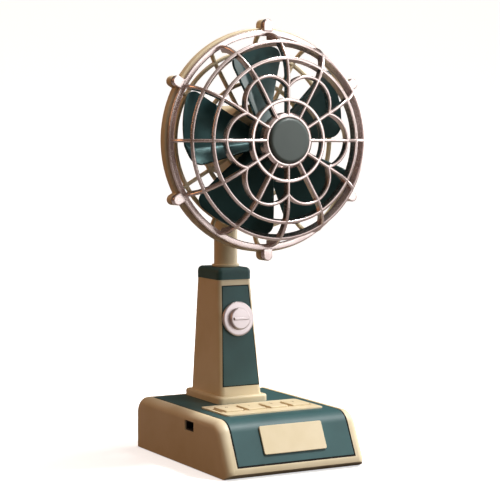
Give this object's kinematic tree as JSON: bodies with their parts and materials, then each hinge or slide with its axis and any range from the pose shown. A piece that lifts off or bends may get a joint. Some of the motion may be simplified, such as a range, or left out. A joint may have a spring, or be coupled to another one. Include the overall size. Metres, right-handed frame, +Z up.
{
  "type": "desk fan",
  "caption": "Retro desk fan with a round guarded head on a swivelling post, a tapered column with a rotary dial, and a wedge base with press keys.",
  "frame": {"origin": "on the standing surface, under the middle of the whole fan", "axes": "+Z up, -Y towards the front that blows air, +X to the right of a person facing the front"},
  "size_m": [0.1834, 0.174, 0.3666],
  "materials": {
    "cream_plastic": "moulded, satin",
    "teal_plastic": "moulded, semi-gloss",
    "blade_plastic": "moulded, high gloss",
    "guard_metal": "die-cast, satin plated",
    "knob_metal": "turned, satin anodised",
    "screw_steel": "plated",
    "plated_steel": "zinc plated",
    "core_steel": "bare",
    "copper_wire": "enamelled wire",
    "bronze": "sintered",
    "black_plastic": "moulded",
    "board_green": "glass-fibre board with solder mask",
    "rubber_feet": "moulded, matt"
  },
  "bodies": {
    "stand": {"base_shell": "cream_plastic", "base_cover": "teal_plastic", "name_plate": "cream_plastic", "key_bezel": "cream_plastic", "circuit_board": "board_green", "board_screws": "screw_steel", "inlet_socket": "black_plastic", "bottom_plate": "plated_steel", "base_screws": "screw_steel", "ballast_screws": "screw_steel", "ballast_weight": "core_steel", "rubber_feet": "rubber_feet", "column_foot": "cream_plastic", "column_screws": "screw_steel", "column_shell": "cream_plastic", "column_panel": "teal_plastic", "column_cap": "teal_plastic", "swivel_socket": "black_plastic", "cap_screws": "screw_steel", "speed_control": "black_plastic", "control_nut": "screw_steel", "key_dome_1": "rubber_feet", "key_dome_2": "rubber_feet", "key_dome_3": "rubber_feet", "key_dome_4": "rubber_feet"},
    "neck": {"post_tube": "cream_plastic", "post_collar": "cream_plastic", "retaining_ring": "screw_steel", "neck_yoke": "cream_plastic", "tilt_bolt": "screw_steel", "tilt_knob": "teal_plastic", "tilt_washers": "black_plastic"},
    "head": {"front_guard": "guard_metal", "guard_cap": "teal_plastic", "guard_screws": "screw_steel", "rear_guard": "cream_plastic", "rear_guard_screws": "screw_steel", "motor_housing": "cream_plastic", "motor_rear_cover": "teal_plastic", "rear_cover_screws": "screw_steel", "motor_can": "plated_steel", "motor_screws": "screw_steel", "front_bush": "bronze", "motor_end_cap": "black_plastic", "rear_bush": "bronze", "field_magnets": "core_steel", "motor_brushes": "copper_wire"},
    "rotor": {"fan_blade": "blade_plastic", "motor_shaft": "screw_steel", "armature_core": "core_steel", "armature_coils": "copper_wire", "commutator": "copper_wire", "blade_nut": "screw_steel"},
    "dial": {"speed_knob": "knob_metal", "control_spindle": "screw_steel"},
    "button_1": {"key_1": "cream_plastic"},
    "button_2": {"key_2": "cream_plastic"},
    "button_3": {"key_3": "cream_plastic"},
    "button_4": {"key_4": "cream_plastic"}
  },
  "joints": [
    {"name": "neck_swivel", "type": "hinge", "parent": "stand", "child": "neck", "pos_m": [0, 0.038, 0.159], "axis": [0, 0, 1], "range_deg": [-60, 60]},
    {"name": "head_tilt", "type": "hinge", "parent": "neck", "child": "head", "pos_m": [0, 0.038, 0.226], "axis": [1, 0, 0], "range_deg": [-30, 15]},
    {"name": "blade_spin", "type": "hinge", "parent": "head", "child": "rotor", "pos_m": [0, 0, 0.2676], "axis": [0, -1, 0], "continuous": true},
    {"name": "dial_turn", "type": "hinge", "parent": "stand", "child": "dial", "pos_m": [0, 0.01677, 0.11558], "axis": [0, -0.9921, 0.1255], "range_deg": [-270, 0]},
    {"name": "key_1_press", "type": "slide", "parent": "stand", "child": "button_1", "axis": [0, 0, -1], "range_m": [0, 0.0012], "stiffness_N_per_m": 800, "deforming": ["key_dome_1"]},
    {"name": "key_2_press", "type": "slide", "parent": "stand", "child": "button_2", "axis": [0, 0, -1], "range_m": [0, 0.0012], "stiffness_N_per_m": 800, "deforming": ["key_dome_2"]},
    {"name": "key_3_press", "type": "slide", "parent": "stand", "child": "button_3", "axis": [0, 0, -1], "range_m": [0, 0.0012], "stiffness_N_per_m": 800, "deforming": ["key_dome_3"]},
    {"name": "key_4_press", "type": "slide", "parent": "stand", "child": "button_4", "axis": [0, 0, -1], "range_m": [0, 0.0012], "stiffness_N_per_m": 800, "deforming": ["key_dome_4"]}
  ]
}
